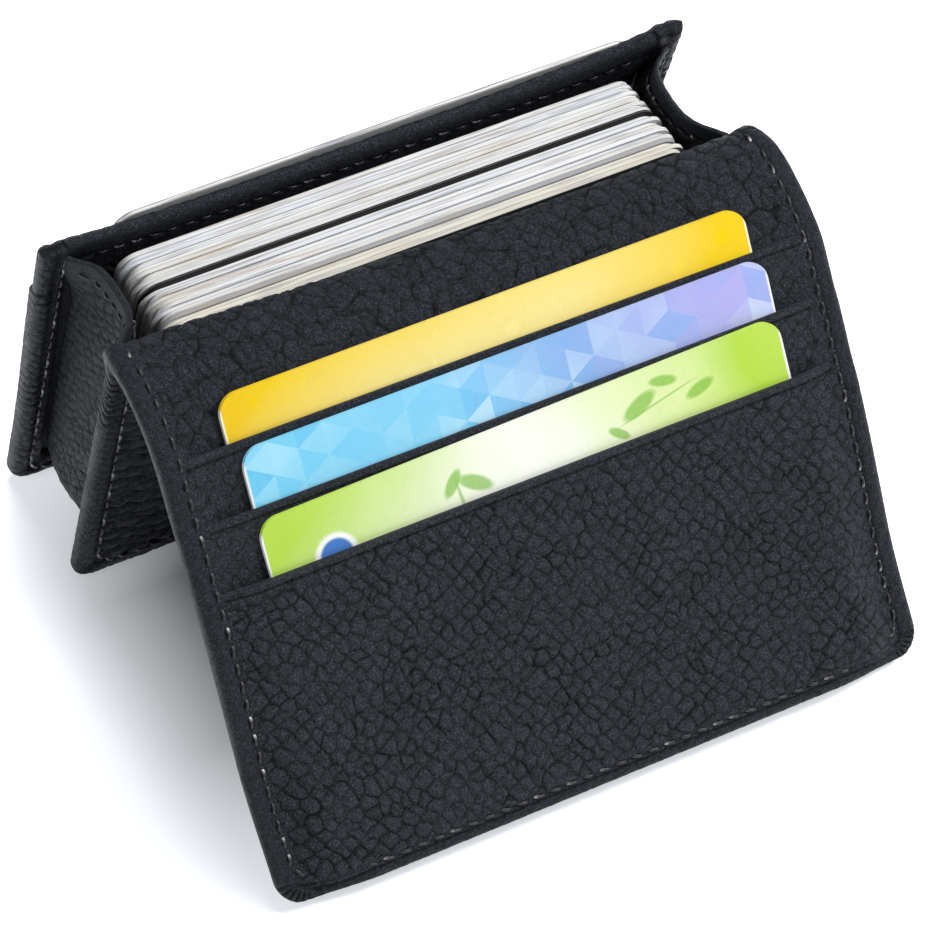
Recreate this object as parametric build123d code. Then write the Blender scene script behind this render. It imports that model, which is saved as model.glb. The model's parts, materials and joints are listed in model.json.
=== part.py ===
from build123d import *
import os
from math import cos, degrees, radians, sin, tan

os.makedirs("parts", exist_ok=True)

# A gusseted card case standing like a tent: a leaning card pocket, a curved spine and a flap
# with three card slots. Millimetres and degrees. +X runs across the case, +Y to its back and
# +Z up. The origin is the middle of the back wall's bottom edge, on the surface it stands on.

# Cards, the standard bank-card size
CARD_W = 85.6
CARD_H = 53.98
CARD_T = 0.76
CARD_CORNER = 3.2

# The leaning case. Its depths are measured along Y at floor level.
LEAN = 14.0             # walls lean this far towards the flap
CASE_W = 105.0
WALL_TOP = 62.6         # height of the back wall's top edge
FLANGE_TOP = 63.8       # the side seams stand a little higher
FRONT_TOP = 60.3        # the front wall's panels stop short of the fold above them
SEAM_W = 5.2            # width of the stitched seam round the gusset
WALL_LEATHER = 1.0
BOARD_T = 0.5
LINING_T = 0.5
GUSSET_T = 0.9
GUSSET_LINING_T = 0.4
BOARD_DROP = 1.0        # boards and side linings stop this far below a wall's top edge
PANEL_RISE = 0.6        # linings and boards start this far above the gusset's base
SIDE_GAP = 0.1          # play between sheets that meet edge to edge
LINING_GAP = 0.6        # the gusset's lining stops this far behind the front flange
BAND_H = 6.5            # leather band inside each wall's top edge
BACK_FACE = 0.5         # back wall's rear face
FRONT_FACE = -23.2      # front wall's outer face
STACK_REAR = -3.7       # rear face of the card stack
STACK_BOTTOM = 7.4      # card bottoms, measured up the lean
STACK_PITCH = 0.78
STACK_X = 0.5           # the stack sits a little to the right
STACK_SHUFFLE = 0.45    # the cards are not quite squared up
SHUFFLE_SIDE = 2.4      # steps of the shuffle's two waves, in radians for each card
SHUFFLE_UP = 4.1

# Slip pocket on the rear face, holding one card
POCKET_GAP = 1.0
POCKET_T = 0.9
POCKET_TOP = 53.6
POCKET_HEM = 2.4
POCKET_SEAM = 5.0
ID_CARD_DEPTH = 0.92    # its rear face, from the back wall's rear face
ID_CARD_X = 2.1
ID_CARD_TOP = 65.9      # measured up the lean

# The flap. Layers are measured outwards from its back face, lengths up from its bottom edge.
FLAP_W = 108.0
FLAP_ANGLE = 33.0       # from the vertical
FLAP_FOOT = -92.0       # where its back face meets the floor
FLAP_FLAT = 66.0        # length of its flat part
FLAP_CORNER = 5.0
FLAP_REACH = 90.0       # the trimming column is longer and thicker than the flap
FLAP_DEPTH = 12.0
FLAP_BOARD_HALF = 49.0
FLAP_BOARD_FOOT = 3.0
COVER_T = 0.7
FLAP_BOARD_T = 0.3
FACING_T = 0.5
STRIP_T = 0.4
CARD_GAP = 0.83         # room for one card between two layers
CARD_PLAY = 0.04        # from a card's back to the layer under it
PANEL_T = 0.6
SLOT_EDGES = (67.7, 58.2, 48.2)      # upper, middle and lower slot edges
STRIP_FEET = (54.6, 44.8)            # where the leather strips end and the cloth begins
CLOTH_FEET = (20.2, 12.2)            # bottoms of the upper and middle pockets
LEG_INNER = 47.0                     # the strips are sewn down outside this half width
BOTTOM_SEAM = 2.2

# The bend from the flap over to the case, one arc seen from the side
BEND_R = 14.8           # its inner radius; the leather lies outside it
FOLD_B_ANGLE = 108.0    # where the flap folds against the spine
FOLD_A_ANGLE = 69.5     # where the spine folds against the front wall
FOLD_A_Y = -38.2
FOLD_A_Z = 61.9
FOLD_GAP = 1.6
FOLD_R = 0.9

# Stitches
STITCH_PITCH = 2.7
STITCH_LENGTH = 1.7
STITCH_W = 0.5
STITCH_RISE = 0.25
SIDE_STITCH_INSET = 3.6
FOOT_STITCH_UP = 2.4
FOOT_STITCH_END = 4.0   # the bottom row stops this far inside the side rows
SIDE_STITCH_FOOT = 6.5
WALL_STITCH_FOOT = 3.0
WALL_STITCH_DROP = 2.0

HALF = CASE_W / 2
WEB_OUT = HALF - SEAM_W
WEB_IN = WEB_OUT - GUSSET_T
LINING_IN = WEB_IN - GUSSET_LINING_T
SEAM_Z = SEAM_W - 0.4    # the seam is narrower along the bottom
BASE_TOP = SEAM_Z + GUSSET_T
PANEL_FOOT = BASE_TOP + PANEL_RISE
BOARD_HALF = LINING_IN - SIDE_GAP
FRONT_LEATHER_IN = FRONT_FACE + WALL_LEATHER
BACK_LEATHER_IN = BACK_FACE - WALL_LEATHER
BACK_BOARD_IN = BACK_LEATHER_IN - BOARD_T
FRONT_BOARD_IN = FRONT_LEATHER_IN + BOARD_T
FRONT_FLANGE_IN = FRONT_LEATHER_IN + GUSSET_T
FACE_H = COVER_T + FLAP_BOARD_T + FACING_T
BEND_MID = BEND_R + FACE_H / 2
BEND_START = 180.0 - FLAP_ANGLE
BEND_Y = FLAP_FOOT + FLAP_FLAT * sin(radians(FLAP_ANGLE)) - BEND_R * cos(radians(BEND_START))
BEND_Z = FLAP_FLAT * cos(radians(FLAP_ANGLE)) - BEND_R * sin(radians(BEND_START))


def write(node, shape):
    shape.label = node
    export_step(shape, os.path.join("parts", node + ".step"))


def leaning(x_low, x_high, y_low, y_high, z_low, z_high):
    """A block between two floor-level depths, sheared so that it leans with the case."""
    corners = [(x_low, y_low), (x_high, y_low), (x_high, y_high), (x_low, y_high)]
    outline = make_face(Polyline(*corners, close=True))
    outline = Pos(0, -z_low * tan(radians(LEAN)), z_low) * outline
    direction = (0, -sin(radians(LEAN)), cos(radians(LEAN)))
    return extrude(outline, amount=(z_high - z_low) / cos(radians(LEAN)), dir=direction)


def mirrored(x_low, x_high, side):
    return (x_low, x_high) if side > 0 else (-x_high, -x_low)


def card_blank(thickness=CARD_T):
    """A card with its bottom edge on the X axis, its rear face at zero height."""
    outline = Pos(0, CARD_H / 2) * RectangleRounded(CARD_W, CARD_H, CARD_CORNER)
    return extrude(outline, amount=thickness)


def case_place(x, depth, up):
    """Stands a flat blank in the leaning case, its thickness running towards the flap."""
    rise = up * cos(radians(LEAN))
    back = depth - up * sin(radians(LEAN))
    return Location((x, back, rise), (90 + LEAN, 0, 0))


FLAP = Location((0, FLAP_FOOT, 0), (90 - FLAP_ANGLE, 0, 0))


# ---- case ----

def back_wall():
    panel = leaning(-HALF, HALF, BACK_LEATHER_IN, BACK_FACE, 0, WALL_TOP)
    write("back_wall_leather", panel)
    across = (-BOARD_HALF, BOARD_HALF)
    write("back_wall_board",
          leaning(*across, BACK_BOARD_IN, BACK_LEATHER_IN, PANEL_FOOT, WALL_TOP - BOARD_DROP))
    lining = (BACK_BOARD_IN - LINING_T, BACK_BOARD_IN)
    split = WALL_TOP - BAND_H
    write("back_wall_lining", leaning(*across, *lining, PANEL_FOOT, split))
    write("back_wall_top_band", leaning(*across, *lining, split, WALL_TOP))


def slip_pocket():
    outer = BACK_FACE + POCKET_GAP
    pocket = leaning(-HALF, HALF, outer, outer + POCKET_T, 0, POCKET_TOP)
    for side in (-1, 1):
        x_low, x_high = mirrored(HALF - POCKET_SEAM, HALF, side)
        pocket += leaning(x_low, x_high, BACK_FACE, outer, 0, POCKET_TOP)
    pocket += leaning(-HALF, HALF, BACK_FACE, outer, 0, POCKET_HEM)
    write("slip_pocket", pocket)
    place = case_place(ID_CARD_X, BACK_FACE + ID_CARD_DEPTH, ID_CARD_TOP - CARD_H)
    write("id_card", place * card_blank())


def side_gusset(name, side):
    """One side of the gusset: a seam flange against the back wall, and the web beside it."""
    flange_x = mirrored(WEB_IN, HALF, side)
    web_x = mirrored(WEB_IN, WEB_OUT, side)
    flange_y = (BACK_LEATHER_IN - GUSSET_T, BACK_LEATHER_IN)
    gusset = leaning(*flange_x, *flange_y, 0, FLANGE_TOP)
    gusset += leaning(*web_x, FRONT_FLANGE_IN + SIDE_GAP, flange_y[0], SEAM_Z, WALL_TOP)
    write(name + "_gusset", gusset)
    lining_x = mirrored(LINING_IN, WEB_IN, side)
    lining_y = (FRONT_FLANGE_IN + LINING_GAP, BACK_BOARD_IN - LINING_T)
    write(name + "_gusset_lining",
          leaning(*lining_x, *lining_y, PANEL_FOOT, WALL_TOP - BOARD_DROP))
    front_y = (FRONT_LEATHER_IN, FRONT_FLANGE_IN)
    write(name + "_front_flange", leaning(*flange_x, *front_y, 0, FRONT_TOP))


def base_gusset():
    flange_y = (BACK_LEATHER_IN - GUSSET_T, BACK_LEATHER_IN)
    base = leaning(-WEB_IN, WEB_IN, *flange_y, 0, BASE_TOP)
    base += leaning(-WEB_IN, WEB_IN, FRONT_FLANGE_IN + SIDE_GAP, flange_y[0], SEAM_Z, BASE_TOP)
    write("base_gusset", base)
    lining_y = (FRONT_FLANGE_IN + LINING_GAP, flange_y[0] - SIDE_GAP)
    write("base_lining",
          leaning(-LINING_IN, LINING_IN, *lining_y, BASE_TOP, BASE_TOP + GUSSET_LINING_T))
    front_y = (FRONT_LEATHER_IN, FRONT_FLANGE_IN)
    write("base_front_flange", leaning(-WEB_IN, WEB_IN, *front_y, 0, SEAM_Z))


# ---- front wall ----

def front_wall():
    write("front_wall_cover", leaning(-HALF, HALF, FRONT_FACE, FRONT_LEATHER_IN, 0, FRONT_TOP))
    across = (-BOARD_HALF, BOARD_HALF)
    write("front_wall_board",
          leaning(*across, FRONT_LEATHER_IN, FRONT_BOARD_IN, PANEL_FOOT, FRONT_TOP - BOARD_DROP))
    lining = (FRONT_BOARD_IN, FRONT_BOARD_IN + LINING_T)
    split = FRONT_TOP - BAND_H
    write("front_wall_lining", leaning(*across, *lining, PANEL_FOOT, split))
    write("front_wall_top_band", leaning(*across, *lining, split, FRONT_TOP))


# ---- card stack ----

def card_group(first, count):
    """Cards of the stack, counted from the rear one."""
    cards = []
    for index in range(first, first + count):
        depth = STACK_REAR - index * STACK_PITCH / cos(radians(LEAN))
        x = STACK_X + STACK_SHUFFLE * sin(index * SHUFFLE_SIDE)
        up = STACK_BOTTOM + STACK_SHUFFLE * (1 + sin(index * SHUFFLE_UP)) / 2
        cards.append(case_place(x, depth, up) * card_blank())
    return Compound(children=cards)


def card_stack():
    write("rear_stack_cards", card_group(0, 9))
    write("dark_divider_card", card_group(9, 1))
    write("front_stack_cards", card_group(10, 7))
    write("grey_card", card_group(17, 1))
    write("cream_stack_cards", card_group(18, 3))


# ---- flap ----

def flap_block(x_low, x_high, up_low, up_high, out_low, out_high):
    block = Pos((x_low + x_high) / 2, (up_low + up_high) / 2, (out_low + out_high) / 2)
    return block * Box(x_high - x_low, up_high - up_low, out_high - out_low)


def flap_column():
    """The flap's outline with its two rounded bottom corners, as a tall column."""
    half = FLAP_W / 2
    column = flap_block(-half, half, 0, FLAP_REACH, 0, FLAP_DEPTH)
    corners = column.edges().filter_by(Axis.Z).group_by(Axis.Y)[0]
    return fillet(corners, FLAP_CORNER)


def bend_shell(inner, outer, from_angle, to_angle, half):
    """A strip of the bend between two radii and two angles about its centre."""
    size = from_angle - to_angle
    centre = (BEND_Y, BEND_Z)
    arc_in = CenterArc(centre, inner, to_angle, size)
    arc_out = CenterArc(centre, outer, to_angle, size)
    edges = [arc_in, arc_out, Line(arc_in @ 0, arc_out @ 0), Line(arc_in @ 1, arc_out @ 1)]
    return extrude(Plane.YZ * make_face(edges), amount=half, both=True)


def gap_angle():
    return degrees(FOLD_GAP / BEND_MID)


def flap_layers(column):
    half = FLAP_W / 2
    board_top = COVER_T + FLAP_BOARD_T
    bend_end = FOLD_B_ANGLE + gap_angle()
    cover = FLAP * (flap_block(-half, half, 0, FLAP_FLAT, 0, COVER_T) & column)
    cover += bend_shell(BEND_R, BEND_R + COVER_T, BEND_START, bend_end, half)
    write("flap_cover", cover)
    board = (-FLAP_BOARD_HALF, FLAP_BOARD_HALF, FLAP_BOARD_FOOT, FLAP_FLAT, COVER_T, board_top)
    write("flap_board", FLAP * flap_block(*board))
    facing = FLAP * (flap_block(-half, half, 0, FLAP_FLAT, board_top, FACE_H) & column)
    facing += bend_shell(BEND_R + board_top, BEND_R + FACE_H, BEND_START, bend_end, half)
    write("flap_facing", facing)


def slot_strip(name, index, column):
    """A leather strip sewn down at both sides, with the cloth of its pocket below it."""
    half = FLAP_W / 2
    under = FACE_H + index * (CARD_GAP + STRIP_T)
    top = under + CARD_GAP + STRIP_T
    strip = flap_block(-half, half, STRIP_FEET[index], SLOT_EDGES[index], top - STRIP_T, top)
    for side in (-1, 1):
        strip += flap_block(*mirrored(LEG_INNER, half, side), 0, SLOT_EDGES[index], under, top)
    write(name + "_slot_strip", FLAP * (strip & column))
    cloth = (CLOTH_FEET[index], STRIP_FEET[index])
    write(name + "_pocket_cloth",
          FLAP * flap_block(-LEG_INNER, LEG_INNER, *cloth, top - STRIP_T, top))
    return top


def slot_panel(under, column):
    half = FLAP_W / 2
    top = under + CARD_GAP + PANEL_T
    edge = SLOT_EDGES[2]
    panel = flap_block(-half, half, 0, edge, top - PANEL_T, top)
    for side in (-1, 1):
        panel += flap_block(*mirrored(LEG_INNER, half, side), 0, edge, under, top)
    panel += flap_block(-LEG_INNER, LEG_INNER, 0, BOTTOM_SEAM, FACE_H, top)
    write("lower_slot_panel", FLAP * (panel & column))
    return top


def slot_cards():
    """Each card's middle, bottom edge, pocket counted from the top, and how far it is turned."""
    places = (("yellow_card", -1.3, CLOTH_FEET[0] + 0.7, 0, 0.0),
              ("blue_card", -0.3, CLOTH_FEET[1] + 0.6, 1, 0.0),
              ("green_card", 0.0, BOTTOM_SEAM + 1.0, 2, 1.0))
    for name, x, foot, index, turn in places:
        under = FACE_H + index * (CARD_GAP + STRIP_T) + CARD_PLAY
        write(name, FLAP * Pos(x, foot, under) * Rot(0, 0, turn) * card_blank())


# ---- spine and folds ----

def spine():
    start = FOLD_B_ANGLE - gap_angle()
    end = FOLD_A_ANGLE + gap_angle()
    half = FLAP_W / 2
    write("spine_cover", bend_shell(BEND_R, BEND_MID, start, end, half))
    write("spine_facing", bend_shell(BEND_MID, BEND_R + FACE_H, start, end, half))


def fold_roll(name, y, z):
    roll = Rot(0, 90, 0) * Cylinder(FOLD_R, CASE_W)
    write(name, Pos(0, y, z) * roll)


def folds():
    fold_y = BEND_Y + BEND_MID * cos(radians(FOLD_B_ANGLE))
    fold_z = BEND_Z + BEND_MID * sin(radians(FOLD_B_ANGLE))
    fold_roll("spine_fold", fold_y, fold_z)
    fold_roll("front_wall_fold", FOLD_A_Y, FOLD_A_Z)


# ---- stitches ----

def flap_stitches(panel_top):
    """Stitches round the flap, lying on its outer face."""
    side_x = FLAP_W / 2 - SIDE_STITCH_INSET
    bars = []
    count = int(2 * (side_x - FOOT_STITCH_END) / STITCH_PITCH)
    for index in range(count + 1):
        x = (index - count / 2) * STITCH_PITCH
        bars.append(stitch_bar(x, FOOT_STITCH_UP, panel_top, STITCH_LENGTH, STITCH_W))
    for side in (-1, 1):
        up = SIDE_STITCH_FOOT
        while up < SLOT_EDGES[2] - STITCH_LENGTH / 2:
            bars.append(stitch_bar(side * side_x, up, panel_top, STITCH_W, STITCH_LENGTH))
            up += STITCH_PITCH
    write("flap_seam_stitches", FLAP * Compound(children=bars))


def stitch_bar(x, up, out, across, along):
    half_x = across / 2
    half_up = along / 2
    return flap_block(x - half_x, x + half_x, up - half_up, up + half_up, out, out + STITCH_RISE)


def flange_stitches():
    """Stitches down the middle of both seam flanges, on their side facing the flap."""
    bars = []
    face = BACK_LEATHER_IN - GUSSET_T
    for side in (-1, 1):
        x = side * (HALF - SEAM_W / 2)
        z = WALL_STITCH_FOOT
        while z < FLANGE_TOP - WALL_STITCH_DROP:
            bars.append(leaning(x - STITCH_W / 2, x + STITCH_W / 2, face - STITCH_RISE, face,
                                z, z + STITCH_LENGTH))
            z += STITCH_PITCH
    write("case_seam_stitches", Compound(children=bars))


back_wall()
slip_pocket()
side_gusset("left", -1)
side_gusset("right", 1)
base_gusset()
front_wall()
card_stack()
outline_column = flap_column()
flap_layers(outline_column)
upper_top = slot_strip("upper", 0, outline_column)
middle_top = slot_strip("middle", 1, outline_column)
outer_top = slot_panel(middle_top, outline_column)
slot_cards()
spine()
folds()
flap_stitches(outer_top)
flange_stitches()
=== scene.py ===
import json
from math import atan2, cos, pi, radians, sin, tan

import bpy
import numpy as np
from mathutils import Matrix, Vector


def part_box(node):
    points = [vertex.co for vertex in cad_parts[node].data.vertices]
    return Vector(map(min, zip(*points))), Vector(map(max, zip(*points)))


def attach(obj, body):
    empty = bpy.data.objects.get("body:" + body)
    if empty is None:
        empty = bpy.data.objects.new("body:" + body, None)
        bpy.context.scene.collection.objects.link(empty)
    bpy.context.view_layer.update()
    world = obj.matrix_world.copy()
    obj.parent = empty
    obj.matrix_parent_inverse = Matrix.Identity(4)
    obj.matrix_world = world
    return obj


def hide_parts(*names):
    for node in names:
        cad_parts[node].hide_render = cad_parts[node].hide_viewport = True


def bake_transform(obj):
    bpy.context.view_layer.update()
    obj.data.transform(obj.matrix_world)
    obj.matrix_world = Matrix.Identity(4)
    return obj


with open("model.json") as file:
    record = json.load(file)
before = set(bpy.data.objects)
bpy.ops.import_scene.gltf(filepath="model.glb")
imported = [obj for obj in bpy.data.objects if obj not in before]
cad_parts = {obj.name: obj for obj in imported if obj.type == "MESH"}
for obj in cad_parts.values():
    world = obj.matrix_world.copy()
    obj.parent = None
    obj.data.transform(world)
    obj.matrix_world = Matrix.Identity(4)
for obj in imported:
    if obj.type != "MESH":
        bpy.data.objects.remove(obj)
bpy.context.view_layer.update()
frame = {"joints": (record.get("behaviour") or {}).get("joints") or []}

# Shapes are worked out in millimetres, in the CAD model's frame, and become metres in skin().
MM = 0.001
joints = {joint["name"]: joint for joint in frame["joints"]}


def axis_angle(name):
    """The angle from straight down of a slide's axis."""
    axis = joints[name]["axis"]
    return atan2(abs(axis[1]), -axis[2])


def box_mm(node):
    low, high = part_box(node)
    return np.array(low) / MM, np.array(high) / MM


# ---- places taken from the frame: a wall's depth is its y at floor level, because the case leans ----

LEAN = axis_angle("id_card_slide")          # the case's angle from upright
TILT = axis_angle("yellow_card_slide")      # the flap's
FLAP_COVER_T = 0.7      # thickness of the flap's outer leather
WALL_COVER_T = 1.0      # and of the front wall's
FLAP_HALF = box_mm("flap_cover")[1][0]
FOOT = box_mm("flap_cover")[0][1] + FLAP_COVER_T * cos(TILT)
CASE_HALF, BACK_FACE, WALL_TOP = box_mm("back_wall_leather")[1]
_, POCKET_FACE, POCKET_TOP = box_mm("slip_pocket")[1]
FRONT_FACE = box_mm("front_wall_cover")[1][1] - WALL_COVER_T


def layer_top(node):
    """Height of a flap layer's outer face above the flap's back face."""
    return (FOOT - box_mm(node)[0][1]) / cos(TILT)


def layer_edge(node):
    """How far up the flap a layer's top edge lies."""
    return (box_mm(node)[1][2] - layer_top(node) * sin(TILT)) / cos(TILT)


FACE_H = layer_top("flap_facing")
LAYERS = ["upper_slot_strip", "middle_slot_strip", "lower_slot_panel"]
FLAT = 66.0             # length of the flap's flat part
BEND_R = 14.8           # the bend's inner radius
BEND_START = pi - TILT      # angles round the bend fall from the flap to the mouth
BEND_END = radians(72)
BEND_Y = FOOT + FLAT * sin(TILT) - BEND_R * cos(BEND_START)
BEND_Z = FLAT * cos(TILT) - BEND_R * sin(BEND_START)
FACE_R = BEND_R + FACE_H
MID_ANGLE = radians(89)     # where the two halves of the spine's leather meet
SEAM = 3.2              # stitch line to edge, on the flap's sides
SEAM_X = FLAP_HALF - SEAM
SEAM_FOOT = 2.2         # and along its bottom edge


# ---- repeatable random patterns ----

def smooth(low, high, value):
    """0 below low and 1 above high, with a soft step between them."""
    t = np.clip((value - low) / (high - low), 0, 1)
    return t * t * (3 - 2 * t)


def bell(gap, width, power=2):
    """A smooth ridge: 1 where the gap is 0, falling away over about a width."""
    return np.exp(-((gap / width) ** power))


def rounding(gap, radius):
    """How far a rounded edge has fallen away: 1 at the edge, 0 a radius inside it."""
    return 1 - np.sqrt(1 - (1 - np.clip(gap / radius, 0, 1)) ** 2)


def lattice(ix, iy, seed):
    """Repeatable random numbers from 0 to 1 at whole-number points."""
    n = (ix * 374761393 + iy * 668265263 + seed * 97471169) & 0xFFFFFFFF
    n = ((n ^ (n >> 13)) * 1274126177) & 0xFFFFFFFF
    return ((n ^ (n >> 16)) & 0xFFFFFF) / 0xFFFFFF


def noise(x, y, size, seed):
    """Soft bumps from -0.5 to 0.5, about one size apart."""
    gx, gy = x / size, y / size
    ix, iy = np.floor(gx).astype(np.int64), np.floor(gy).astype(np.int64)
    fx, fy = smooth(0, 1, gx - ix), smooth(0, 1, gy - iy)
    low = lattice(ix, iy, seed) * (1 - fx) + lattice(ix + 1, iy, seed) * fx
    high = lattice(ix, iy + 1, seed) * (1 - fx) + lattice(ix + 1, iy + 1, seed) * fx
    return low * (1 - fy) + high * fy - 0.5


def cells(x, y, size, seed, spread_y=0.8):
    """How far each point is from the border between scattered cells, in cell sizes."""
    spread_x = 0.8
    gx, gy = x / size, y / size
    ix, iy = np.floor(gx).astype(np.int64), np.floor(gy).astype(np.int64)
    near = np.full(gx.shape, 9.0)
    far = np.full(gx.shape, 9.0)
    for dx in (-1, 0, 1):
        for dy in (-1, 0, 1):
            cx, cy = ix + dx, iy + dy
            px = cx + 0.5 + spread_x * (lattice(cx, cy, seed) - 0.5)
            py = cy + 0.5 + spread_y * (lattice(cx, cy, seed + 1) - 0.5)
            gap = np.hypot(px - gx, py - gy)
            far = np.minimum(far, np.maximum(near, gap))
            near = np.minimum(near, gap)
    return far - near


def grain(x, y, seed, size, depth, stretch=1.0):
    """Pebbled leather: (height in mm, how deep in a crease from 0 to 1).

    The pebbles lie on a slant of 60 degrees, drift with soft noise, and are split by
    finer creases in patches and by a few long folds."""
    wx = x + 1.3 * noise(x, y, 5.0, seed) + 0.4 * noise(x, y, 1.1, seed + 1)
    wy = (y + 1.3 * noise(x, y, 5.0, seed + 2) + 0.4 * noise(x, y, 1.1, seed + 3)) * stretch
    along, athwart = 0.5 * wx - 0.87 * wy, 0.87 * wx + 0.5 * wy
    border = cells(along * 0.9, athwart * 1.05, size, seed + 4, 0.42)
    strength = 0.5 + 0.5 * smooth(-0.3, 0.2, noise(x, y, 2.2, seed + 13))
    crease = bell(border, 0.105, 1.4)
    dome = 1 - bell(border, 0.36, 1.4)
    fine = bell(cells(wx, wy, size * 0.5, seed + 7), 0.13, 1.4)
    patch = smooth(-0.2, 0.3, noise(x, y, 4.0, seed + 9))
    fold = bell(cells(along * 0.3, athwart * 0.9, size * 1.7, seed + 11, 0.5), 0.042, 1.4)
    fold = fold * smooth(-0.35, 0.1, noise(x, y, 5.0, seed + 15))
    height = depth * ((0.8 + 0.6 * strength) * dome - 0.8 * crease * strength - 0.4 * fine * patch
                      - 0.6 * fold + 0.4 * noise(x, y, 1.1, seed + 17))
    # The mask is where the leather material paints shade into the creases and folds.
    mask = np.clip(0.8 * crease * strength + 0.55 * fold + 0.2 * fine * patch, 0, 1)
    return height, mask


# ---- meshes ----

def skin(name, rings, mask=None):
    """Closed skins through rings of points: rings is [ring][point] or [shell][ring][point]."""
    rings = np.asarray(rings, float)
    if rings.ndim == 3:
        rings = rings[None]
    shells, n, m = rings.shape[:3]
    index = np.arange(shells * n * m).reshape(shells, n, m)
    after = np.roll(index, -1, axis=2)
    quads = np.stack([index[:, :-1], after[:, :-1], after[:, 1:], index[:, 1:]], axis=-1).reshape(-1)
    caps = np.stack([index[:, 0, ::-1], index[:, -1]], axis=1).reshape(-1)
    loops = np.concatenate([quads, caps])
    starts = np.concatenate([np.arange(0, len(quads), 4),
                             len(quads) + m * np.arange(2 * shells)])
    mesh = bpy.data.meshes.new(name)
    mesh.vertices.add(index.size)
    mesh.vertices.foreach_set("co", (rings.reshape(-1, 3) * MM).ravel())
    mesh.loops.add(len(loops))
    mesh.loops.foreach_set("vertex_index", loops.astype(np.int32))
    mesh.polygons.add(len(starts))
    mesh.polygons.foreach_set("loop_start", starts.astype(np.int32))
    mesh.update(calc_edges=True)
    # The crease attribute holds, for leather, where the material paints shade into creases, and for
    # thread, its painted highlights.
    layer = mesh.attributes.new("crease", "FLOAT", "POINT")
    values = np.zeros(index.size) if mask is None else np.asarray(mask, float).reshape(-1)
    layer.data.foreach_set("value", values.astype(np.float32))
    piece = bpy.data.objects.new(name, mesh)
    bpy.context.scene.collection.objects.link(piece)
    face_outwards(mesh)
    mesh.shade_smooth()
    mesh.set_sharp_from_angle(angle=radians(60))
    return piece


def face_outwards(mesh):
    """Turns every face over if the closed skin's signed volume is negative."""
    count = len(mesh.vertices)
    points = np.empty(count * 3)
    mesh.vertices.foreach_get("co", points)
    points = points.reshape(-1, 3)
    mesh.calc_loop_triangles()
    corners = np.empty(len(mesh.loop_triangles) * 3, np.int32)
    mesh.loop_triangles.foreach_get("vertices", corners)
    a, b, c = (points[corners.reshape(-1, 3)[:, k]] for k in range(3))
    if np.einsum("ij,ij->", a, np.cross(b, c)) < 0:
        mesh.flip_normals()


class Track:
    """A line in the YZ plane, measured along its length, with its normal on the left."""

    def __init__(self, points):
        points = np.asarray(points, float)
        steps = np.hypot(*np.diff(points, axis=0).T)
        self.length = np.concatenate([[0], np.cumsum(steps)])
        self.points = points
        along = np.gradient(points, self.length, axis=0)
        self.angle = np.unwrap(np.arctan2(along[:, 1], along[:, 0])) + pi / 2
        self.total = self.length[-1]

    def place(self, x, s, out):
        """The point at x, s along the track and out along the normal, as an array of xyz."""
        y = np.interp(s, self.length, self.points[:, 0])
        z = np.interp(s, self.length, self.points[:, 1])
        angle = np.interp(s, self.length, self.angle)
        x, y, z = np.broadcast_arrays(x, y + out * np.cos(angle), z + out * np.sin(angle))
        return np.stack([x, y, z], axis=-1)


def arc(centre_y, centre_z, radius, start, end, count):
    angles = np.linspace(start, end, count)
    return [(centre_y + radius * cos(a), centre_z + radius * sin(a)) for a in angles]


def turn(start, corner, end, count):
    """A smooth turn from start to end, pulled towards the corner."""
    t = np.linspace(0, 1, count)[:, None]
    start, corner, end = (np.array(p, float) for p in (start, corner, end))
    return list((1 - t) ** 2 * start + 2 * t * (1 - t) * corner + t * t * end)


def line(start, end, count):
    return [tuple(p) for p in np.linspace(start, end, count)]


def leaning(y, z):
    """The (y, z) of a point that stands over depth y at floor level, in the leaning case."""
    return (y - z * tan(LEAN), z)


def face_track():
    """Along the flap's facing leather, over the bend and down the inside of the front wall."""
    offset = np.array([-cos(TILT), sin(TILT)]) * FACE_H
    foot = np.array([FOOT, 0]) + offset
    knee = foot + np.array([sin(TILT), cos(TILT)]) * FLAT
    bend = arc(BEND_Y, BEND_Z, FACE_R, BEND_START, BEND_END, 160)
    end = np.array(bend[-1])
    inner = np.array(leaning(WALL_FACE, TURN_Z))
    down = np.array([sin(LEAN), -cos(LEAN)])
    ahead = np.array([sin(BEND_END), -cos(BEND_END)])
    reach = np.linalg.solve(np.stack([ahead, down], axis=1), inner - end)
    corner = end + ahead * reach[0]
    mouth = turn(end, corner, inner, 60)
    wall = line(inner, leaning(WALL_FACE, 0), 80)
    return Track(line(foot, knee, 140)[:-1] + bend[:-1] + mouth[:-1] + wall)


WALL_FACE = FRONT_FACE + 2.0    # the front wall's inner face
TURN_Z = 57.2                   # height where the bend has turned down into the pocket
FACE = face_track()
# Distances along FACE: to the spine's middle, the mouth's edge and where the front wall is straight.
MID_S = FLAT + (BEND_START - MID_ANGLE) * FACE_R
MOUTH_S = FLAT + (BEND_START - BEND_END) * FACE_R
WALL_S = FACE.total - TURN_Z / cos(LEAN)


def bow(points):
    """The front wall's top bows forwards between its sewn corners, and the spine sits a little askew."""
    points = points.copy()
    x, y, z = points[..., 0], points[..., 1], points[..., 2]
    shape = np.clip(1 - ((x - 6) / 47) ** 2, 0, 1)
    near_mouth = smooth(-56, -38, y) * smooth(8, 58, z)
    near_spine = smooth(55.5, 62, z)
    on_flap = smooth(0, 20, z) * smooth(-42, -52, y)
    points[..., 0] -= 0.6 * near_spine * (1 - on_flap) + 0.9 * on_flap
    points[..., 1] -= 1.1 * shape * near_mouth
    points[..., 2] += (0.25 - 0.017 * x) * near_spine
    return points


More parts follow.
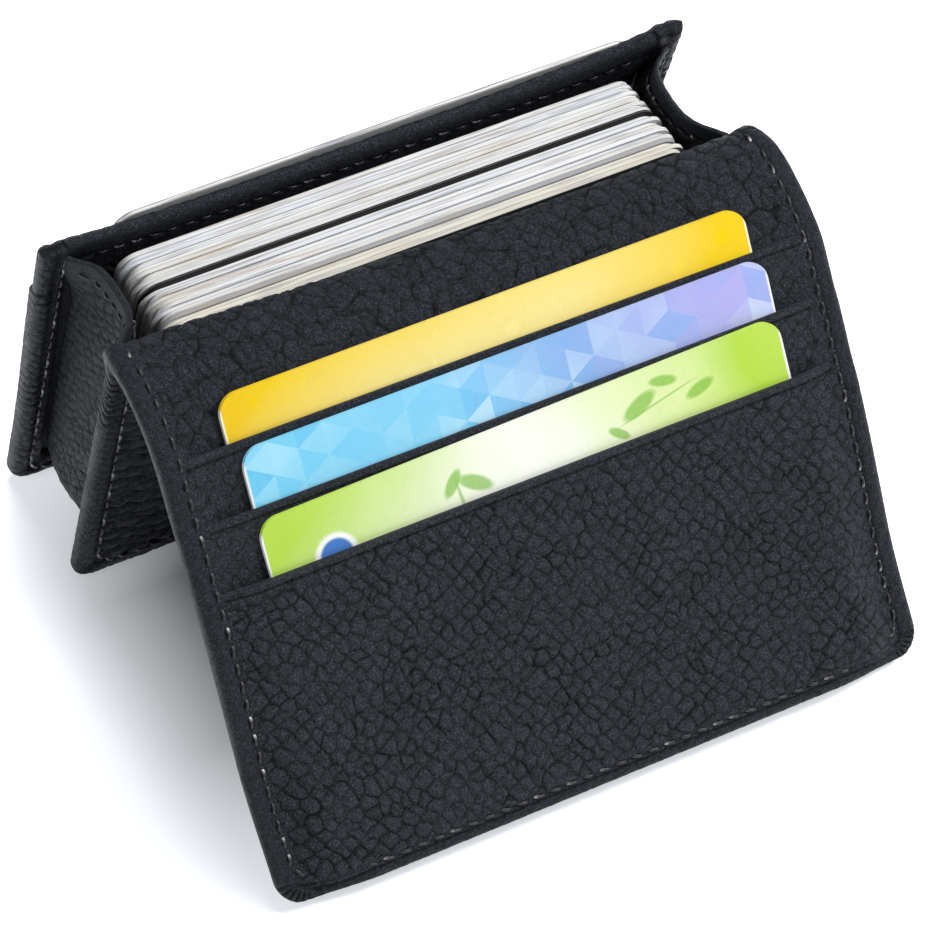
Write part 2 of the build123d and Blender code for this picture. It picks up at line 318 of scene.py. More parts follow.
def panel(name, track, half, step, ss, top, under, pattern=None, shape=None, under_xs=None):
    """A sheet that reaches half its width to each side of a track. Its faces' heights off the track
    are numbers or functions of x, s, pattern(x, s) is its grain, and shape moves the finished points."""
    def face(height, x, s):
        return height(x, s) if callable(height) else np.full(x.shape, height)

    x, s = np.meshgrid(spaced(-half, half, step), ss)
    height = face(top, x, s)
    mask = np.zeros(x.shape)
    if pattern is not None:
        bumps, mask = pattern(x, s)
        height = height + bumps
    upper = track.place(x, s, height)
    under_xs = spaced(-half, half, 4) if under_xs is None else np.array(under_xs)
    ux, us = np.meshgrid(under_xs[::-1], ss)
    lower = track.place(ux, us, face(under, ux, us))
    rings = np.concatenate([upper, lower], axis=1)
    # The under face gets a crease value of 0.2, a little painted shade.
    mask = np.concatenate([mask, np.full(ux.shape, 0.2)], axis=1)
    if shape is not None:
        rings = shape(rings)
    return skin(name, rings, mask)


def spaced(low, high, step):
    return np.linspace(low, high, max(2, int(round(abs(high - low) / step)) + 1))


# ---- camera, light and floor ----

def camera():
    azimuth, elevation, roll = radians(31.5), radians(47.553), radians(3.4995)
    target, distance = Vector((9.14, -33.54, 5.16)) * MM, 784 * MM
    data = bpy.data.cameras.new("camera")
    data.lens = 197.95
    data.sensor_width = 36.0
    data.clip_start = 0.01
    view = bpy.data.objects.new("camera", data)
    view.matrix_world = (Matrix.Translation(target) @ Matrix.Rotation(-azimuth, 4, "Z")
                         @ Matrix.Rotation(pi / 2 - elevation, 4, "X") @ Matrix.Rotation(roll, 4, "Z")
                         @ Matrix.Translation((0, 0, distance)))
    bpy.context.scene.collection.objects.link(view)
    bpy.context.scene.camera = view


def light(name, kind, energy, place, aim, **settings):
    data = bpy.data.lights.new(name, kind)
    data.energy = energy
    for key, value in settings.items():
        setattr(data, key, value)
    lamp = bpy.data.objects.new(name, data)
    lamp.location = place
    lamp.rotation_euler = (Vector(aim) - Vector(place)).to_track_quat("-Z", "Y").to_euler()
    bpy.context.scene.collection.objects.link(lamp)


def studio():
    """Soft light from above and both sides, on a white floor that glows evenly, with a painted shadow
    below the case, where its glow fades out and its colour darkens.
    """
    scene = bpy.context.scene
    scene.view_settings.view_transform = "Standard"
    world = bpy.data.worlds.new("studio")
    scene.world = world
    world.use_nodes = True
    background = world.node_tree.nodes["Background"]
    background.inputs["Color"].default_value = (0.88, 0.94, 1.0, 1)
    background.inputs["Strength"].default_value = 0.2
    centre = (0, -0.04, 0.03)
    light("key", "SUN", 2.0, (0, 0, 0), (-0.22, -0.28, -0.93), angle=radians(32))
    light("fill", "AREA", 7.5, (0.70, -0.30, 0.75), centre, shape="RECTANGLE", size=0.25, size_y=0.25)
    light("side", "AREA", 1.6, (-0.9, -0.1, 0.55), centre, shape="RECTANGLE", size=0.3, size_y=0.4,
          color=(0.92, 0.96, 1.0))
    bpy.ops.mesh.primitive_plane_add(size=6, location=(0, 0, -0.2 * MM))
    floor = bpy.context.object
    floor.name = "floor"
    nodes = Nodes("floor")
    # Painted shadow: 1 below the case, where the floor's glow is taken away and its colour is darkened.
    below = nodes.times(band(nodes, across(nodes, (1, 0, 0)), -4, 44, 14),
                        band(nodes, across(nodes, (0, 1, 0)), -46, 30, 14))
    floor.data.materials.append(nodes.shade({
        "Roughness": 0.6, "Emission Color": (0.94, 0.965, 1.0, 1),
        "Emission Strength": nodes.range(below, 0, 1, 0.62, 0.0),
        "Base Color": nodes.mix(below, (0.9, 0.91, 0.93), (0.16, 0.165, 0.18))}))


# ---- materials ----

class Nodes:
    """A new material, with short ways to add and join its nodes."""

    def __init__(self, name):
        self.material = bpy.data.materials.new(name)
        self.material.use_nodes = True
        self.tree = self.material.node_tree
        self.shader = self.tree.nodes["Principled BSDF"]
        coordinates = self.tree.nodes.new("ShaderNodeTexCoord")
        self.place = coordinates.outputs["Object"]
        self.normal = coordinates.outputs["Normal"]

    def add(self, kind, inputs=None, **settings):
        node = self.tree.nodes.new("ShaderNode" + kind)
        for key, value in settings.items():
            setattr(node, key, value)
        for key, value in (inputs or {}).items():
            self.put(node.inputs[key], value)
        return node

    def put(self, socket, value):
        if isinstance(value, bpy.types.NodeSocket):
            self.tree.links.new(value, socket)
        else:
            socket.default_value = value

    def math(self, operation, a, b=0.0):
        return self.add("Math", {0: a, 1: b}, operation=operation).outputs[0]

    def times(self, a, b):
        return self.math("MULTIPLY", a, b)

    def plus(self, a, b):
        return self.math("ADD", a, b)

    def minus(self, a, b):
        return self.math("SUBTRACT", a, b)

    def dot(self, vector, direction):
        node = self.add("VectorMath", {0: vector, 1: direction}, operation="DOT_PRODUCT")
        return node.outputs["Value"]

    def chance(self, value):
        """A repeatable random number from 0 to 1 for each value."""
        return self.add("TexWhiteNoise", {"W": value}, noise_dimensions="1D").outputs["Value"]

    def noise(self, scale, detail=3.0, rough=0.55, vector=None):
        inputs = {"Vector": vector or self.place, "Scale": scale, "Detail": detail, "Roughness": rough}
        return self.add("TexNoise", inputs).outputs["Fac"]

    def ramp(self, value, *stops):
        node = self.add("ValToRGB", {"Fac": value})
        elements = node.color_ramp.elements
        while len(elements) < len(stops):
            elements.new(0.5)
        for element, (position, colour) in zip(elements, stops):
            element.position = position
            element.color = (*colour, 1)
        return node.outputs["Color"]

    def mix(self, factor, a, b):
        node = self.add("Mix", data_type="RGBA")
        for socket, value in zip((node.inputs[0], node.inputs[6], node.inputs[7]), (factor, a, b)):
            self.put(socket, (*value, 1) if isinstance(value, tuple) else value)
        return node.outputs[2]

    def range(self, value, low, high, to_low=0.0, to_high=1.0):
        ends = {"From Min": low, "From Max": high, "To Min": to_low, "To Max": to_high}
        return self.add("MapRange", {"Value": value, **ends}).outputs[0]

    def tint(self, colour, where, amount, paint):
        """A colour with an amount of paint over it, where a value is 1."""
        return self.mix(self.times(where, amount), colour, paint)

    def bump(self, height, distance, strength=1.0):
        return self.add("Bump", {"Height": height, "Distance": distance, "Strength": strength}).outputs[0]

    def shade(self, inputs):
        """Sets or joins the shader's inputs and gives back the finished material."""
        for key, value in inputs.items():
            self.put(self.shader.inputs[key], value)
        return self.material


def leather_material(name, base, rough, pore_depth):
    """Leather: mottled, with dark specks and pale specks of painted highlight, and painted shade that
    makes it darker in its creases, where it is also duller.
    """
    def times_base(factor):
        return tuple(factor * part for part in base)

    nodes = Nodes(name)
    crease = nodes.add("Attribute", attribute_name="crease").outputs["Fac"]
    mottle = nodes.noise(700, 4)
    speck = nodes.noise(3400, 4, 0.85)
    tone = nodes.mix(nodes.range(mottle, 0.3, 0.7), times_base(0.8), times_base(1.25))
    tone = nodes.mix(nodes.range(speck, 0.5, 0.43, 0.0, 0.85), tone, times_base(0.1))
    # Pale specks: painted highlights.
    tone = nodes.mix(nodes.range(speck, 0.53, 0.61, 0.0, 0.8), tone, times_base(4.0))
    # Painted shade: the crease attribute darkens the colour in creases, folds and grooves.
    tone = nodes.mix(crease, tone, times_base(0.1))
    roughness = nodes.plus(nodes.range(mottle, 0.3, 0.7, rough - 0.06, rough + 0.08),
                           nodes.times(crease, 0.45))
    pore = nodes.noise(2600, 5, 0.8)
    cell = nodes.add("TexVoronoi", {"Vector": nodes.place, "Scale": 2100.0}).outputs["Distance"]
    fine = nodes.plus(pore, nodes.times(cell, 0.35))
    return nodes.shade({"Base Color": tone, "Roughness": roughness, "Specular IOR Level": 0.18,
                        "Sheen Weight": 0.015, "Sheen Roughness": 0.45,
                        "Normal": nodes.bump(fine, pore_depth)})


def twill_material():
    nodes = Nodes("black_twill")
    wave = nodes.add("TexWave", {"Vector": nodes.place, "Scale": 330.0, "Distortion": 0.3,
                                 "Detail": 1.0}, wave_type="BANDS", bands_direction="DIAGONAL")
    rib = wave.outputs["Fac"]
    return nodes.shade({"Base Color": nodes.mix(rib, (0.006, 0.006, 0.007), (0.028, 0.029, 0.033)),
                        "Roughness": 0.7, "Normal": nodes.bump(rib, 0.00015, 0.7)})


def board_material():
    nodes = Nodes("bonded_board")
    fibre = nodes.noise(1500, 6, 0.7)
    return nodes.shade({"Base Color": nodes.mix(fibre, (0.16, 0.11, 0.07), (0.34, 0.26, 0.18)),
                        "Roughness": 0.85, "Normal": nodes.bump(fibre, 0.0001, 0.6)})


def thread_material():
    """Black thread, with painted highlights: pale where the mesh says so."""
    nodes = Nodes("thread")
    # The crease attribute holds the stitches' painted highlights.
    painted_highlight = nodes.add("Attribute", attribute_name="crease").outputs["Fac"]
    twist = nodes.noise(2600, 3, 0.6)
    dark = nodes.mix(twist, (0.006, 0.006, 0.007), (0.024, 0.024, 0.028))
    return nodes.shade({"Base Color": nodes.mix(painted_highlight, dark, (0.75, 0.74, 0.72)),
                        "Roughness": 0.42, "Normal": nodes.bump(twist, 0.0001, 0.8)})


black_leather = leather_material("black_leather", (0.0185, 0.0210, 0.0280), 0.42, 0.00032)
smooth_leather = leather_material("smooth_leather", (0.0110, 0.0128, 0.0185), 0.38, 0.000192)
lining_twill = twill_material()
board = board_material()
thread = thread_material()


def finish_piece(piece, material, *nodes):
    """Gives a piece its material and the CAD nodes that it replaces."""
    piece.data.materials.append(material)
    if nodes:
        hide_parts(*nodes)
    return piece


def across_flap_fold(piece):
    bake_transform(piece)


def across_top_fold(piece):
    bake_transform(piece)


def across_gusset(piece):
    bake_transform(piece)


# ---- flap: x is across it and s is the distance along FACE ----

# The turned edge's front and back faces, in heights above the flap's back face at distances along FACE.
RIM_S = (-1, 44, 48, 56, 59, 66, 70, 76, 200)
RIM_TOP = (4.75, 4.75, 4.25, 4.0, 3.55, 3.3, 2.6, 2.2, 2.2)
RIM_BACK = (1.3, 1.3, 1.2, 1.0, 0.7, 0.3, -0.1, -0.35, -0.35)


def rim_top(s):
    return np.interp(s, RIM_S, RIM_TOP) - FACE_H


def rim_front(x, s):
    """The turned edge's face: level with the panel below the cards, thin at the bottom corners."""
    return rim_top(s) + (1 - smooth(8, 40, s)) * (0.5 - 1.9 * smooth(38, 51, np.abs(x)))


def rim_back(s):
    return np.interp(s, RIM_S, RIM_BACK) - FACE_H


LIP_GROOVE = 1.25       # crease below a slot's edge


def over_cards(x):
    """1 over the cards, falling to 0 at the stitch lines."""
    return 1 - smooth(44.2, SEAM_X - 0.2, np.abs(x))


def slot_lip(s, edge):
    """The rounded top edge of a slot strip, with the crease pressed in below it."""
    gap = edge - s
    return -0.34 * rounding(gap, 0.32) - 0.13 * bell(gap - LIP_GROOVE, 0.16)


def slot_layer(index):
    """One of the flap's slot strips, or its large lower panel."""
    node = LAYERS[index]
    edge, level = layer_edge(node), layer_top(node) - FACE_H
    lower = node == "lower_slot_panel"
    seed = 11 + 40 * index
    if lower:
        first, step, thick, pebble, depth = SEAM_FOOT - 0.5, 0.19, 0.55, 2.1, 0.17
    else:
        first, step, thick, pebble, depth = edge - 14, 0.26, 0.38, 1.9, 0.05
    half = SEAM_X + 0.5
    lip = edge - 2.2
    ss = np.concatenate([spaced(first, lip, step), spaced(lip, edge, 0.08)[1:]])

    def top(x, s):
        valley = rim_front(x, s) - 0.3
        height = valley + (level - valley) * over_cards(x)
        if lower:
            height = height + 0.1 - 0.3 * bell(s - SEAM_FOOT, 0.35)
        side = 0.25 * (1 - smooth(0, 0.8, SEAM_X + 0.2 - np.abs(x)))
        return height - side + slot_lip(s, edge)

    def under(x, s):
        return top(x, s) - thick

    def pattern(x, s):
        bumps, mask = grain(x, s, seed, pebble, depth)
        calm = smooth(0.2, 2.0, edge - s) * smooth(0.0, 1.2, SEAM_X - np.abs(x))
        if lower:
            calm = calm * smooth(0, 1.0, s - SEAM_FOOT)
        # The crease below the slot's edge is darkened through the mask: painted shade.
        groove = bell(edge - s - LIP_GROOVE, 0.2)
        return bumps * calm, np.clip(mask * calm + 0.7 * groove, 0, 1)

    right = (44.4, 46, 47.5, 49, half)
    under_xs = [-x for x in right[::-1]] + [0, *right]
    piece = panel(node + "_leather", FACE, half, 0.19, ss, top, under, pattern, bow, under_xs)
    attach(finish_piece(piece, black_leather, node), "flap")


def facing_top(x, s):
    """Flat behind the cards, puffed up over the bend, and pressed below the turned edge's face."""
    valley = rim_front(x, s) - 0.3
    side = smooth(SEAM_X - 3.5, SEAM_X, np.abs(x))
    puff = 0.25 * smooth(70, 78, s)
    return (0.02 + puff) * (1 - side) + np.minimum(valley, post_top(s) - 0.3) * side


def facing_pattern(x, s):
    bumps, mask = grain(x, s, 171, 2.8, 0.2, 0.85)
    folds = cells(x * 0.8 + 2 * noise(x, s, 6, 180), s * 0.42, 2.6, 177)
    wrinkle = 1 - smooth(0.0, 0.12, folds)
    on_bend = smooth(67, 74, s)
    calm = smooth(0.0, 1.0, SEAM_X - np.abs(x)) * (0.35 + 0.65 * smooth(62, 70, s))
    calm = calm * (1 - smooth(MOUTH_S + 1.5, MOUTH_S + 4, s))
    height = bumps * (1 - 0.3 * on_bend) - 0.1 * wrinkle * on_bend
    # The wrinkles on the bend are darkened through the mask: painted shade.
    return height * calm, np.clip(mask + 0.6 * wrinkle * on_bend, 0, 1) * calm


def facing():
    """The facing leather behind the cards and over the bend, in two pieces that meet on the spine."""
    half = SEAM_X + 0.4
    under = -0.6
    low = np.concatenate([spaced(3, 56, 6), spaced(56.5, MID_S, 0.24)])
    piece = panel("flap_facing_leather", FACE, half, 0.24, low, facing_top, under, facing_pattern, bow)
    across_flap_fold(finish_piece(piece, black_leather, "flap_facing"))
    high = spaced(MID_S, WALL_S + 5.5, 0.22)
    piece = panel("spine_facing_leather", FACE, half, 0.24, high, facing_top, under, facing_pattern, bow)
    across_top_fold(finish_piece(piece, black_leather, "spine_facing", "front_wall_fold",
                                 "front_wall_top_band"))


def roll_ring():
    """A flattened roll's outline: (across, up) from -1 to 1, starting at its inner side."""
    points, roundness = 36, 0.72
    angle = pi - np.linspace(0, 2 * pi, points, endpoint=False)
    return (np.sign(part) * np.abs(part) ** roundness for part in (np.cos(angle), np.sin(angle)))


def seam_outline(top, half, foot, seam, seam_foot, outer_r, inner_r):
    """Down one side, round two corners and up the other: inner and outer points and pleats."""
    step = 0.4
    inner_x, inner_s = half - seam, foot + seam_foot
    side, base = spaced(top, foot + outer_r, step), spaced(-half + outer_r, 0, step)[1:]
    angle = np.linspace(0, pi / 2, 40)

    def path(x, s, radius):
        """One line of points. It waits at its own corner while the other line passes it."""
        corner = np.stack([-x + radius * (1 - np.cos(angle)), s + radius * (1 - np.sin(angle))], axis=1)
        down = np.stack([np.full(side.shape, -x), np.maximum(side, s + radius)], axis=1)
        along = np.stack([np.maximum(base, -x + radius), np.full(base.shape, s)], axis=1)
        return np.concatenate([down, corner, along])

    outer, inner = path(half, foot, outer_r), path(inner_x, inner_s, inner_r)
    pleat = np.concatenate([0 * side, np.sqrt(np.abs(np.sin(2 * angle))), 0 * base])
    flip = np.array([-1, 1])
    outer = np.concatenate([outer, outer[-2::-1] * flip])
    inner = np.concatenate([inner, inner[-2::-1] * flip])
    return inner, outer, np.concatenate([pleat, pleat[-2::-1]])


def seam_roll(outline):
    """Rings over an outline: (x, s, across from 0 to 1, up from -1 to 1, run along, pleat)."""
    inner, outer, pleat = outline
    across, up = roll_ring()
    u = (across[None, :] + 1) / 2
    x = inner[:, :1] + (outer[:, :1] - inner[:, :1]) * u
    s = inner[:, 1:] + (outer[:, 1:] - inner[:, 1:]) * u
    run = np.concatenate([[0], np.cumsum(np.hypot(*np.diff(outer, axis=0).T))])[:, None] + 0 * u
    return x, s, u, up[None, :] + 0 * s, run, pleat[:, None]


def pleats(run, u, fold, seed):
    """Ridges that radiate round a corner, where the turned leather is gathered."""
    ridge = 0.5 + 0.5 * np.cos(run * 2 * pi / 1.15 + 2.0 * noise(run, u * 4, 2, seed))
    return ridge ** 3 * fold * smooth(0.1, 0.5, u)


def flap_binding():
    """The turned edge round the flap from the spine's middle, pleated at its bottom corners."""
    outline = seam_outline(MID_S, FLAP_HALF, -0.5, SEAM, SEAM_FOOT + 0.3, outer_r=4.6, inner_r=1.6)
    x, s, u, up, run, pleat = seam_roll(outline)
    front, back = rim_front(x, s), rim_back(s)
    bumps, mask = grain(run, u * 4 + up * 2, 311, 1.6, 0.08)
    fold = pleats(run, u, pleat, 319)
    height = (front + back) / 2 + ((front - back) / 2 + bumps - 0.32 * fold) * up
    # The mask darkens the grain's creases and the pleats: painted shade.
    piece = skin("flap_binding", bow(FACE.place(x, s, height)), np.clip(mask * 0.5 + fold, 0, 1))
    across_flap_fold(finish_piece(piece, smooth_leather))


def post_top(s):
    """Inner face of the turned edge, from the spine to the front wall."""
    return rim_top(s) + (0.15 - rim_top(s)) * smooth(MOUTH_S - 1, WALL_S + 1, s)


def post_back(s):
    return rim_back(s) + (-2.55 - rim_back(s)) * smooth(MOUTH_S - 1, WALL_S + 2, s)


def narrowing(x, s):
    """The flap is a little wider than the front wall that it is sewn on to."""
    return x * (1 - 0.024 * smooth(MID_S, WALL_S, s))


def front_binding():
    """The same edge over the spine, round the mouth's corners and down round the front wall."""
    rise = FACE.total - MID_S
    outline = seam_outline(rise, FLAP_HALF, 0.15, SEAM + 0.2, SEAM, outer_r=3.4, inner_r=1.0)
    x, q, u, up, run, pleat = seam_roll(outline)
    s = FACE.total - q
    front, back = post_top(s), post_back(s)
    bumps, mask = grain(run, u * 4 + up * 2, 331, 1.6, 0.1)
    fold = pleats(run, u, pleat, 339)
    lines = np.cos((run + 1.3 * u * up) * 2 * pi / 1.6 + 6.0 * noise(run, u * 3, 3, 341))
    on_wall = smooth(MOUTH_S + 1, WALL_S + 3, s) * smooth(0.15, 0.6, u)
    wrinkle = smooth(0.2, 1.0, lines) * on_wall * (0.3 + smooth(-0.2, 0.3, noise(run, u, 7, 343)))
    wrinkle = wrinkle * (0.35 + 0.65 * (1 - smooth(MOUTH_S + 8, MOUTH_S + 34, s)))
    height = (front + back) / 2 + ((front - back) / 2 + bumps - 0.3 * fold - 0.32 * wrinkle) * up
    x = x - np.sign(x) * 0.28 * wrinkle * smooth(0.7, 1.0, u)
    rings = bow(FACE.place(narrowing(x, s), s, height))
    # The mask darkens the grain's creases, the pleats and the wrinkles: painted shade.
    piece = skin("front_wall_binding", rings, np.clip(mask * 0.5 + fold + 0.8 * wrinkle, 0, 1))
    across_top_fold(finish_piece(piece, smooth_leather, "left_front_flange", "right_front_flange",
                                 "base_front_flange"))


def flap_cover():
    """The case's outer leather on the flap's back, up to the middle of the spine."""
    half = FLAP_HALF - 2.2

    def top(x, s):
        return 0.25 - FACE_H - 0.35 * over_cards(x) * smooth(1, 6, s)

    def pattern(x, s):
        bumps, mask = grain(x, s, 411, 2.4, 0.15)
        calm = smooth(0, 3, half - np.abs(x))
        return -bumps * calm, mask * calm

    piece = panel("flap_cover_leather", FACE, half, 0.4, spaced(0.9, MID_S, 0.4), top, 0.6 - FACE_H,
                  pattern, bow)
    across_flap_fold(finish_piece(piece, black_leather, "flap_cover"))


# ---- front wall ----

def cover_height(s):
    return -FACE_H - 0.45 - 0.2 * smooth(MOUTH_S, WALL_S + 3, s)


def front_cover():
    """The outer leather from the middle of the spine, into the fold and down the front wall."""
    half = FLAP_HALF - 3.4

    def top(x, s):
        return cover_height(s) + 0.35 * smooth(half - 3, half, np.abs(x))

    def under(x, s):
        return cover_height(s) + 0.9

    def pattern(x, s):
        bumps, mask = grain(x * 0.62, s, 431, 2.7, 0.4, 1.25)
        calm = smooth(0, 2.5, half - np.abs(x)) * smooth(MOUTH_S, MOUTH_S + 5, s)
        return -bumps * calm, mask * calm

    piece = panel("front_cover_leather", FACE, half, 0.4, spaced(MID_S, FACE.total - 0.8, 0.4),
                  top, under, pattern, bow)
    across_top_fold(finish_piece(piece, black_leather, "spine_cover", "front_wall_cover", "spine_fold"))


def front_wall_sheets():
    """The stiffener and the cloth lining inside the front wall."""
    thick = 0.42
    for name, node, material, inner in (
            ("front_wall_stiffener", "front_wall_board", board, -0.55),
            ("front_wall_cloth", "front_wall_lining", lining_twill, -0.03)):
        half = box_mm(node)[1][0]
        piece = panel(name, FACE, half, 2, spaced(WALL_S + 1, FACE.total - 5.6, 1),
                      inner, inner - thick, shape=bow)
        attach(finish_piece(piece, material, node), "front_wall")


# ---- back wall ----

def back_track():
    """Up the inside of the back wall, over its top edge and down its back."""
    inner, outer, top = BACK_FACE - 2.0, BACK_FACE + 0.05, WALL_TOP - 1.0
    low = leaning(inner, WALL_TOP - 6.5)
    left, right = leaning(inner, top), leaning(outer, top)
    middle = ((left[0] + right[0]) / 2 - 1.3 * sin(LEAN), top + 1.3)
    return Track(line(low, left, 20)[:-1]
                 + turn(left, (left[0] - 1.0 * sin(LEAN), top + 1.2), middle, 14)[:-1]
                 + turn(middle, (right[0] - 1.0 * sin(LEAN), top + 1.2), right, 14)[:-1]
                 + line(right, leaning(outer, 0.3), 120))


BACK = back_track()
CORNER_TOP = WALL_TOP + 1.6     # the edge's ends stand above the wall
RIGHT_RISE = 1.7                # and the right one further
POCKET_STEP = 0.95              # the slip pocket's edge stands out from the wall
RIDGE_S = 6.9                   # distance along BACK to the top edge
HEMS = (RIDGE_S - 3.6, RIDGE_S + 5.2)   # the sewn rows inside and behind the top edge


def ridge(points):
    """The back wall's top edge rises towards its sewn corners."""
    points = points.copy()
    lift = (2.0 + 1.5 * (points[..., 0] > 0)) * (np.abs(points[..., 0]) / 50) ** 4 - 0.25
    lift = lift * smooth(55.5, 62, points[..., 2])
    points[..., 1] -= lift * tan(LEAN)
    points[..., 2] += lift
    return points


def back_wall():
    half = CASE_HALF - 3.0
    inside = box_mm("back_wall_top_band")[1][0]

    def top(x, s):
        return 0.1 - 0.3 * bell(s - HEMS[0], 0.35) - 0.3 * bell(s - HEMS[1], 0.4) + 0 * x

    def pattern(x, s):
        bumps, mask = grain(x, s, 511, 2.4, 0.15)
        calm = 0.35 + 0.65 * smooth(RIDGE_S, RIDGE_S + 3, s)
        return bumps * calm, mask * calm

    def shape(points):
        points = ridge(points)
        width = inside + (half - inside) * smooth(1.0, 4.2, ss[:, None])
        points[..., 0] *= width / half
        return points

    ss = spaced(0, BACK.total, 0.36)
    piece = panel("back_wall_leather_skin", BACK, half, 0.4, ss, top, -0.85, pattern, shape)
    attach(finish_piece(piece, black_leather, "back_wall_leather", "back_wall_top_band"), "case")


def slip_pocket():
    """The open pocket sewn to the back, swelling over the card that it holds."""
    half = CASE_HALF - 2.4
    top_s = BACK.total - (POCKET_TOP - 0.3) / cos(LEAN)
    swell = POCKET_FACE - BACK_FACE - POCKET_STEP

    def swollen(x, s):
        spread = 1 - smooth(45.4, 49.4, np.abs(x))
        return POCKET_STEP + swell * spread * smooth(1.2, 2.4, BACK.total - s)

    def top(x, s):
        edge = s - top_s
        return swollen(x, s) - 0.45 * rounding(edge, 0.45) - 0.14 * bell(edge - 1.7, 0.22)

    def under(x, s):
        return swollen(x, s) - 0.75

    def pattern(x, s):
        bumps, mask = grain(x, s, 531, 2.4, 0.17)
        calm = smooth(0.3, 2.4, s - top_s) * smooth(0, 2, half - np.abs(x))
        return bumps * calm, mask * calm

    lip = top_s + 2.4
    ss = np.concatenate([spaced(top_s, lip, 0.1), spaced(lip, BACK.total, 0.3)[1:]])
    under_xs = (-half, -49, -47.4, -45.6, 0, 45.6, 47.4, 49, half)
    piece = panel("slip_pocket_leather", BACK, half, 0.3, ss, top, under, pattern, under_xs=under_xs)
    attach(finish_piece(piece, black_leather, "slip_pocket"), "case")


def over_pocket(z):
    """1 on the back wall's edge where the pocket is sewn in, 0 above it."""
    return 1 - smooth(POCKET_TOP - 0.7, POCKET_TOP + 0.2, z)


def back_binding():
    """The back wall's sewn edge: the cover turned over the gusset's flange. The right corner stands
    higher, the left side leans out a little, and the edge is thinner behind the rear card."""
    outline = seam_outline(CORNER_TOP, CASE_HALF + 0.1, 0.12, 4.9, 4.7, outer_r=3.0, inner_r=1.0)
    x, z, u, up, run, pleat = seam_roll(outline)
    right = x > 0
    x = x - ~right * smooth(12, 60, z)
    z = z + RIGHT_RISE * right * smooth(50, 63, z)
    below = over_pocket(z)
    corner = smooth(WALL_TOP - 4, WALL_TOP + 1, z)
    front = BACK_FACE - 2.35 - 0.25 * smooth(0.45, 0.6, u) - 0.25 * corner
    behind_card = smooth(1.9, 2.3, z) * (1 - smooth(45.6, 46.6, np.abs(x))) * (1 - corner) * below
    back = BACK_FACE + 0.35 + POCKET_STEP * below + 0.25 * corner - 1.9 * behind_card
    bumps, mask = grain(run, u * 5 + up * 2, 551, 1.6, 0.14)
    fold = pleats(run, u, np.maximum(pleat, 0.5 * corner), 559)
    lines = np.cos(run * 2 * pi / 1.9 + 3.5 * noise(run, u * 3, 3, 561) + 2 * u)
    wrinkle = smooth(0.5, 1.0, lines) * smooth(0.1, 0.5, u)
    wrinkle = wrinkle * (0.3 + smooth(-0.1, 0.3, noise(run, u, 6, 563)))
    valley = 0.32 * bell(u - 0.47, 0.09)
    step = 0.3 * bell(z - POCKET_TOP - 0.4, 0.5)
    grow = bumps - 0.3 * fold - 0.15 * wrinkle - valley - step
    end = 1 - 0.7 * rounding(CORNER_TOP + RIGHT_RISE * right - z, 1.4)
    height = (front + back) / 2 + ((back - front) / 2 + grow) * up * end
    rings = np.stack([x, height - z * tan(LEAN), z], axis=-1)
    # The mask darkens creases, pleats, wrinkles, the valley along the roll and the step at the pocket's
    # edge: painted shade.
    mask = np.clip(0.6 * mask + fold + 0.5 * wrinkle + 1.5 * valley + step, 0, 1)
    piece = skin("back_wall_binding", rings, mask)
    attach(finish_piece(piece, smooth_leather), "case")


# ---- gusset: one strip of leather down the left, under the pocket and up the right ----

REAR_Y, FORE_Y = BACK_FACE - 1.9, WALL_FACE + 0.1
WEB_HALF, WEB_TOP, WEB_FOOT = 47.3, 62.7, 4.8
WEB_RADIUS, WEB_TURN = 5.0, 0.12    # of its bottom corners, in mm and in parts of the base
WEB_LENGTH, WEB_DEPTH = 58, 20      # one side's, for the grain's scale
HEM_REACH = 0.062                   # how far down a side its hem is sewn


def web_place(part, v, out):
    """A point on the gusset's strip: part runs 0-1 down the left, 1-2 across and 2-3 up the right,
    and v 0-1 from the back wall to the front wall. Its sides bow in, flare at the top and bulge below."""
    reach = np.minimum(part, 3 - part)
    side = np.sign(part - 1.5)
    top = WEB_TOP - 0.6 * v - 4.2 * v * (1 - v) - 1.1 * smooth(0.75, 1, v)
    side_z = top + (WEB_FOOT + WEB_RADIUS - top) * np.clip(reach, 0, 1)
    turned = np.clip((reach - 1) / WEB_TURN, 0, 1) * pi / 2
    flat_x = (WEB_HALF - WEB_RADIUS) * np.clip(np.abs(part - 1.5) / (0.5 - WEB_TURN), 0, 1)
    x = np.where(turned >= pi / 2, flat_x, flat_x + WEB_RADIUS * np.cos(turned))
    z = side_z - WEB_RADIUS * np.sin(turned)
    bulge = 4 * v * (1 - v) * (1.7 * (1 - smooth(5, 35, z)) - 1.4 * smooth(30, 60, z))
    flare = bell(v, 0.13) + bell(1 - v, 0.16)
    push = out + bulge + 3.0 * flare * smooth(50, 61, z)
    x = side * (x + np.cos(turned) * push)
    z = z - np.sin(turned) * push
    y = REAR_Y + (FORE_Y - REAR_Y) * v
    points = np.stack([x, y - z * tan(LEAN), z], axis=-1)
    return points + (bow(points) - points) * v[..., None]


